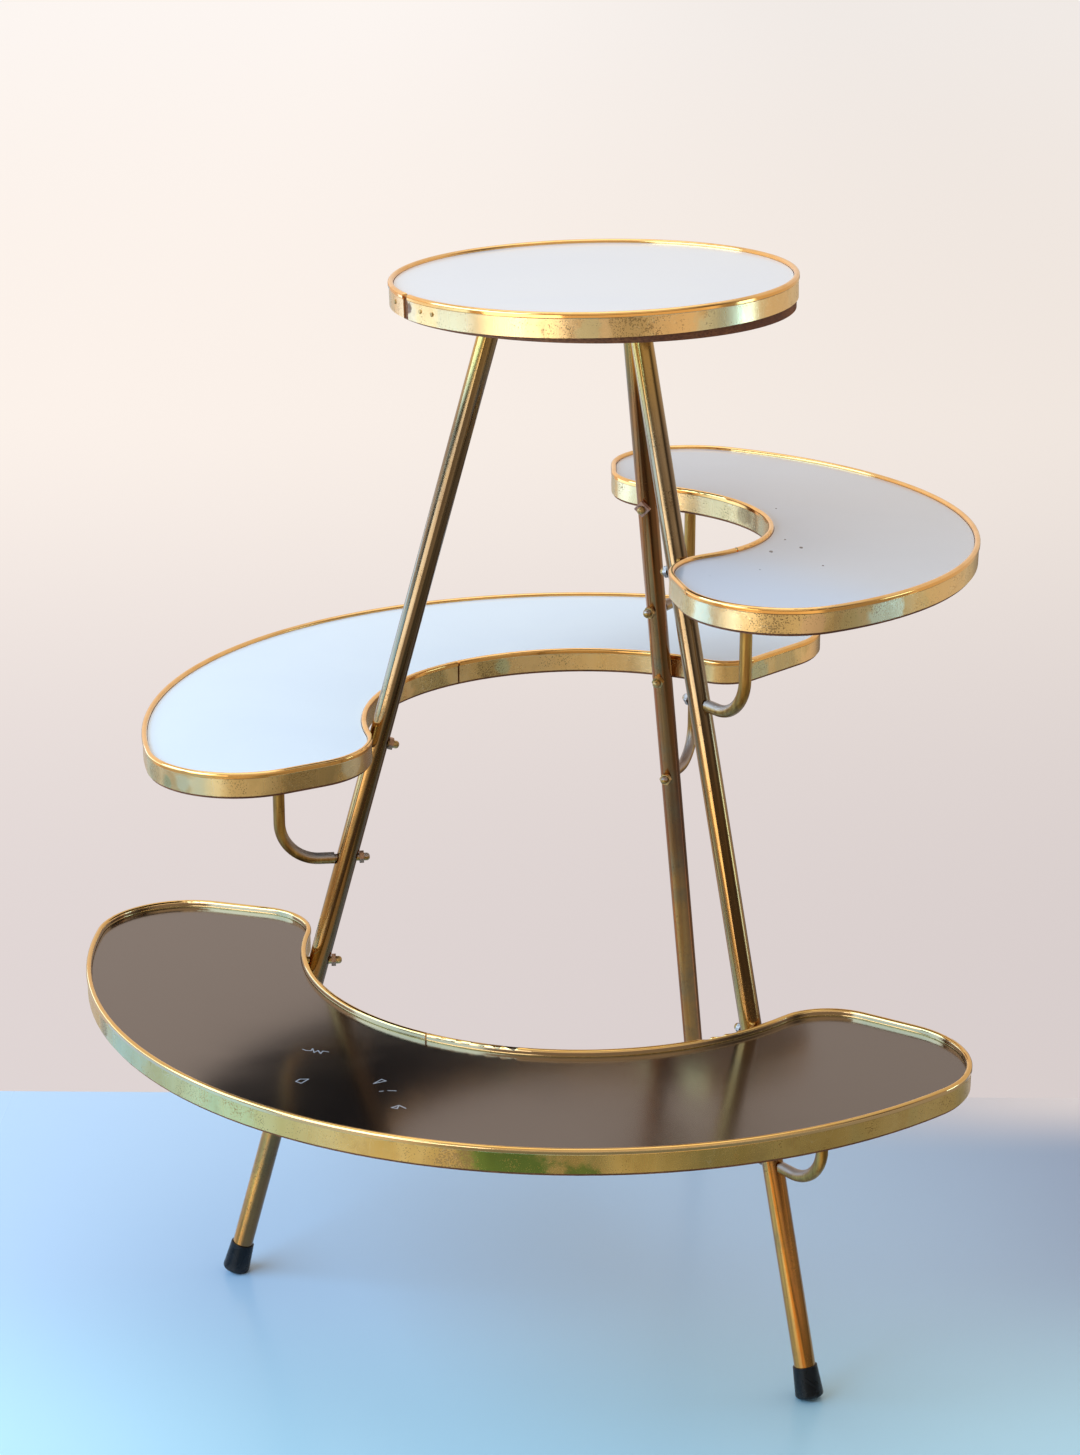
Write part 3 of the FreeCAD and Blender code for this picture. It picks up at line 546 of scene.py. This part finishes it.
def pale_laminate(name, near, far, roughness):
    """Laminate with no marks of its own."""
    finish, n, shader, place, colour = laminate(name, near, far, roughness)
    n.put(shader.inputs["Base Color"], colour)
    return finish


# Dark oval pinholes on the upper top, as place on the object and half width
PINHOLE_SQUASH = 0.45
PINHOLES = (
    ((0.1799, -0.0453), 0.0013),
    ((0.2026, -0.0314), 0.0012),
    ((0.1922, -0.0091), 0.0007),
    ((0.2151, -0.0812), 0.0007),
    ((0.1692, -0.0969), 0.0006),
    ((0.1330, -0.1170), 0.0006),
    ((0.1910, 0.0860), 0.0006),
)


def speckled_laminate(name, near, far, roughness):
    """Laminate with a few dark pinholes and a painted bluish sheen towards its front left."""
    finish, n, shader, place, colour = laminate(name, near, far, roughness)
    flat = n.vector("MULTIPLY", place, (1.0, PINHOLE_SQUASH, 0.0))
    for (across, along), radius in PINHOLES:
        away = n.vector("DISTANCE", flat, (across, along * PINHOLE_SQUASH, 0.0))
        colour = n.mix(n.spread(away, radius * 0.9, radius * 1.3, 0.95, 0.0), colour, rgb(0.03, 0.03, 0.03))
    axes = n.add("SeparateXYZ", {0: place}).outputs
    # Painted light: a bluer tone towards the front left corner
    corner = n.sum("ADD", axes["X"], axes["Y"])
    colour = n.mix(n.spread(corner, 0.0, 0.16, 0.9, 0.0), colour, rgb(0.52, 0.65, 0.82))
    n.put(shader.inputs["Base Color"], colour)
    return finish


# Scuffs rubbed into the lower top: corners of ragged lines, two closed loops, two ticks, a scribble
# and two faint dashes
SCUFF_WIDTH = 0.00065
SCUFF_LINES = (
    ((-0.1477, -0.2402), (-0.1537, -0.2402), (-0.1563, -0.2443), (-0.1523, -0.2473), (-0.1477, -0.2402)),
    ((-0.1015, -0.2474), (-0.0964, -0.2400), (-0.0930, -0.2427), (-0.0975, -0.2453), (-0.1015, -0.2474)),
    ((-0.0865, -0.2875), (-0.0815, -0.2837), (-0.0766, -0.2887)),
    ((-0.0815, -0.2837), (-0.0825, -0.2891), (-0.0865, -0.2875)),
    ((-0.1564, -0.1875), (-0.1536, -0.1898), (-0.1503, -0.1902), (-0.1494, -0.1865), (-0.1477, -0.1932),
     (-0.1452, -0.1898), (-0.1429, -0.1950), (-0.1417, -0.1907), (-0.1375, -0.1923)),
    ((-0.0964, -0.2607), (-0.0940, -0.2600)),
    ((-0.0906, -0.2592), (-0.0852, -0.2595)),
)


def scuff_mask(n, place):
    """Where any of the scuffs' strokes lies on the top."""
    flat = n.vector("MULTIPLY", place, (1.0, 1.0, 0.0))
    scuffs = 0.0
    for line in SCUFF_LINES:
        for start, end in zip(line, line[1:]):
            way = Vector(end) - Vector(start)
            mark = n.group(STROKE, {"Vector": flat, "Start": (*start, 0.0), "Length": way.length,
                                    "Way": (*way.normalized(), 0.0), "Width": SCUFF_WIDTH})["Mask"]
            scuffs = n.sum("MAXIMUM", scuffs, mark)
    return scuffs


def scuffed_laminate(name, near, far, roughness):
    """Laminate that mirrors strongly, with pale scuffs."""
    finish, n, shader, place, colour = laminate(name, near, far, roughness)
    shader.inputs["IOR"].default_value = 2.3
    shader.inputs["Specular Tint"].default_value = rgb(1.0, 0.85, 0.74)
    share = n.sum("MULTIPLY", scuff_mask(n, place), 0.8)
    n.put(shader.inputs["Base Color"], n.mix(share, colour, rgb(0.50, 0.54, 0.60)))
    return finish


def dress(finish, *names):
    """Give CAD nodes this finish in every material slot."""
    for name in names:
        mesh = NODES[name].data
        mesh.materials.clear()
        mesh.materials.append(finish)
        for face in mesh.polygons:
            face.material_index = 0


def dress_stand():
    for name in BAND_TONES:
        dress(brass_band(name), name + "_band")
    for leg in LEG_TONES:
        dress(brass_tube(leg), "leg_" + leg)
    dress(brass_rod(), *[name for name in NODES if "_bracket_" in name])
    for name, (bright, dull, grime, roughness, nodes) in FASTENERS.items():
        dress(fastener(name, bright, dull, grime, roughness), *nodes)
    dress(black_rubber(), "foot_left", "foot_right", "foot_rear")
    dress(dark_board(), "tray_board", *[shelf + "_board" for shelf in SHELF_NAMES])
    dress(pale_laminate("white_laminate", rgb(0.77, 0.82, 0.86), rgb(0.75, 0.80, 0.85), 0.16),
          "tray_laminate")
    dress(pale_laminate("pale_blue_laminate", rgb(0.74, 0.87, 0.97), rgb(0.72, 0.85, 0.96), 0.16),
          "middle_laminate")
    dress(speckled_laminate("pale_grey_laminate", rgb(0.60, 0.635, 0.68), rgb(0.58, 0.615, 0.66), 0.14),
          "upper_laminate")
    dress(scuffed_laminate("black_laminate", rgb(0.005, 0.004, 0.004), rgb(0.007, 0.006, 0.005), 0.13),
          "lower_laminate")


def plane(name, x0, y0, x1, y1):
    """A flat stage sheet on the floor."""
    mesh = bpy.data.meshes.new(name)
    mesh.from_pydata([(x0, y0, 0), (x1, y0, 0), (x1, y1, 0), (x0, y1, 0)], [], [(0, 1, 2, 3)])
    sheet = bpy.data.objects.new(name, mesh)
    bpy.context.scene.collection.objects.link(sheet)
    return sheet


def sheet_blue(n, place, axes):
    """Blue of the sheet, with painted light and shade: greyer at the right as painted shade, fresher before
    the stand as a painted pool of light, and deeper far to the left as painted shade.
    """
    # Painted shade: greyer blue towards the right
    across = n.sum("ADD", axes["X"], n.sum("MULTIPLY", axes["Y"], 0.4))
    blue = n.mix(n.spread(across, 0.18, 0.7), rgb(0.52, 0.71, 0.91), rgb(0.29, 0.36, 0.50))
    # Painted light: a fresher, brighter blue just before the stand
    before = n.sum("MULTIPLY", n.spread(axes["Y"], -0.28, 0.02, 0.9, 0.0), n.spread(axes["Y"], -0.8, -0.35))
    blue = n.mix(before, blue, rgb(0.56, 0.88, 1.0))
    # Painted shade: deeper blue far to the left
    blue = n.mix(n.spread(axes["X"], -1.3, -0.5, 0.7, 0.0), blue, rgb(0.20, 0.29, 0.37))
    cloud = n.noise(place, 1.3, 2.0)
    blue = n.mix(n.spread(cloud, 0.35, 0.65, 0.0, 0.10), blue, rgb(0.54, 0.70, 0.83))
    behind = n.spread(axes["Y"], SHEET_BACK - 0.12, SHEET_BACK)
    fade = n.sum("MULTIPLY", behind, n.spread(axes["X"], 0.1, 0.5))
    return n.mix(fade, blue, rgb(0.82, 0.75, 0.74))


def mirrored_room(n, axes):
    """Tones of the room that the metal mirrors in place of the sheet, and where they take its place."""
    far = n.spread(axes["Y"], FRONT_FAR, FRONT_NEAR, 1.0, 0.0)
    near = n.mix(n.spread(axes["X"], 0.4, 1.0), rgb(0.20, 0.205, 0.15), rgb(0.34, 0.30, 0.23))
    strip = n.spread(axes["Y"], STRIP_FAR, STRIP_NEAR)
    strip = n.sum("MULTIPLY", strip, n.spread(axes["X"], 0.2, 0.35, 1.0, 0.0))
    near = n.mix(strip, near, rgb(0.90, 0.70, 0.38))
    near = n.mix(n.spread(axes["X"], -0.75, -0.35, 1.0, 0.0), near, rgb(0.49, 0.58, 0.57))
    lit = n.mix(n.spread(axes["Y"], -2.4, -1.9), rgb(0.76, 0.63, 0.45), rgb(1.0, 0.85, 0.60))
    room = n.mix(far, near, lit)
    room = n.mix(n.spread(axes["X"], -1.6, -0.9, 1.0, 0.0), room, rgb(0.60, 0.46, 0.30))
    ahead = n.sum("SUBTRACT", axes["Y"], n.sum("MULTIPLY", n.sum("MAXIMUM", axes["X"], 0.0), 0.9))
    front = n.spread(ahead, ROOM_FAR, ROOM_NEAR, 1.0, 0.0)
    front = n.sum("MULTIPLY", front, n.spread(n.sum("ADD", axes["X"], far), -1.3, -0.8))
    left = n.spread(axes["X"], -1.8, -1.2, 1.0, 0.0)
    return room, n.sum("MAXIMUM", front, left)


def glow_through(n, finish, share, shader, colour):
    """Let a plain glow of this colour take the shader's place by this share."""
    glow = n.add("Emission", {"Color": colour, "Strength": 1.0})
    mixed = n.add("MixShader", {0: share, 1: shader.outputs[0], 2: glow.outputs[0]})
    n.put(finish.node_tree.nodes["Material Output"].inputs["Surface"], mixed.outputs[0])


def floor_blue():
    """Pale blue satin sheet; in reflections it gives way to the room round the stand."""
    finish, n, shader, place = new_finish("floor_blue")
    axes = n.add("SeparateXYZ", {0: place}).outputs
    n.put(shader.inputs["Base Color"], sheet_blue(n, place, axes))
    n.put(shader.inputs["Roughness"], n.spread(axes["X"], -0.75, -0.42, 0.8, 0.24))
    shader.inputs["Specular IOR Level"].default_value = 0.3
    room, where = mirrored_room(n, axes)
    mirrored = n.add("LightPath").outputs["Is Glossy Ray"]
    glow_through(n, finish, n.sum("MULTIPLY", where, mirrored), shader, room)
    return finish


def ground_warm():
    """Pale warm ground behind the sheet, shown at its own colour with painted shade, darker near the sheet
    and towards the right; in reflections it is dimmer.
    """
    finish, n, shader, place = new_finish("ground_warm")
    axes = n.add("SeparateXYZ", {0: place}).outputs
    # Painted shade: darker and pinker near the sheet
    warm = n.mix(n.spread(axes["Y"], SHEET_BACK, 3.2), rgb(0.76, 0.68, 0.67), rgb(0.99, 0.90, 0.835))
    warm = n.mix(n.spread(axes["Y"], 2.5, 11.0), warm, rgb(1.0, 0.94, 0.90))
    # Painted shade: darker towards the right
    warm = n.mix(n.spread(axes["X"], -1.0, 1.2, 0.0, 0.11), warm, rgb(0, 0, 0))
    n.put(shader.inputs["Base Color"], n.mix(0.75, rgb(0, 0, 0), warm))
    shader.inputs["Roughness"].default_value = 0.9
    path = n.add("LightPath").outputs
    dim = n.mix(n.spread(axes["X"], -0.6, 0.4), rgb(0.62, 0.55, 0.50), rgb(0.18, 0.15, 0.125))
    dim = n.mix(n.spread(axes["X"], -1.1, -0.8, 1.0, 0.0), dim, rgb(0.45, 0.68, 0.90))
    dim = n.mix(n.spread(axes["X"], -1.55, -1.25, 1.0, 0.0), dim, rgb(0.80, 0.66, 0.54))
    dim = n.mix(n.spread(axes["X"], 0.9, 1.5), dim, rgb(0.66, 0.56, 0.40))
    seen = n.sum("MAXIMUM", path["Is Camera Ray"], path["Is Glossy Ray"])
    colour = n.mix(path["Is Glossy Ray"], warm, dim)
    glow_through(n, finish, n.sum("MULTIPLY", seen, 0.97), shader, colour)
    return finish


def lay_floor():
    plane("floor", -STAGE_HALF, SHEET_FRONT, STAGE_HALF, SHEET_BACK).data.materials.append(floor_blue())
    plane("ground", -STAGE_HALF, SHEET_BACK, STAGE_HALF, GROUND_BACK).data.materials.append(ground_warm())


def paint_room():
    """Pale wall behind the stand and a dim room in front of it, brighter where the metal mirrors it."""
    world = bpy.data.worlds.new("room")
    bpy.context.scene.world = world
    world.use_nodes = True
    n = Nodes(world.node_tree)
    way = n.add("TexCoord").outputs["Generated"]
    axes = n.add("SeparateXYZ", {0: way}).outputs
    wall = n.mix(n.spread(axes["X"], -0.5, 0.5), rgb(1.0, 0.87, 0.79), rgb(0.76, 0.65, 0.57))
    room = n.mix(n.spread(axes["Y"], -0.35, 0.3), rgb(0.13, 0.11, 0.09), wall)
    room = n.mix(n.spread(axes["Z"], 0.38, 0.88), room, rgb(0.72, 0.69, 0.67))
    path = n.add("LightPath").outputs
    ahead = n.sum("MULTIPLY", n.spread(axes["Y"], -0.75, -0.35, 1.0, 0.0), path["Is Glossy Ray"])
    level = n.sum("MULTIPLY", n.spread(axes["Z"], 0.10, 0.22), n.spread(axes["Z"], 0.45, 0.70, 1.0, 0.0))
    room = n.mix(n.sum("MULTIPLY", ahead, level), room, rgb(0.85, 0.72, 0.56))
    colour = n.mix(path["Is Camera Ray"], room, rgb(0.965, 0.875, 0.83))
    n.put(world.node_tree.nodes["Background"].inputs["Color"], colour)


def hang_windows():
    """Soft windows and lit patches round the stand, all turned towards its middle."""
    for name, (middle, width, height, watts, colour) in WINDOWS.items():
        lamp = bpy.data.lights.new(name, "AREA")
        lamp.shape = "RECTANGLE"
        lamp.size = width
        lamp.size_y = height
        lamp.energy = watts
        lamp.color = colour
        window = bpy.data.objects.new(name, lamp)
        window.visible_camera = False
        window.visible_diffuse = name not in ONLY_MIRRORED
        window.location = middle
        window.rotation_euler = (STAND_MIDDLE - middle).to_track_quat("-Z", "Y").to_euler()
        bpy.context.scene.collection.objects.link(window)


def place_camera():
    data = bpy.data.cameras.new("camera")
    data.sensor_fit = "HORIZONTAL"
    data.sensor_width = CAMERA_FILM
    data.lens = CAMERA_LENS
    camera = bpy.data.objects.new("camera", data)
    camera.location = CAMERA_PLACE
    camera.rotation_euler = (math.radians(CAMERA_TILT), 0.0, math.radians(CAMERA_TURN))
    bpy.context.scene.collection.objects.link(camera)
    bpy.context.scene.camera = camera


bpy.context.scene.view_settings.view_transform = "Standard"
dress_stand()
lay_floor()
paint_room()
hang_windows()
place_camera()
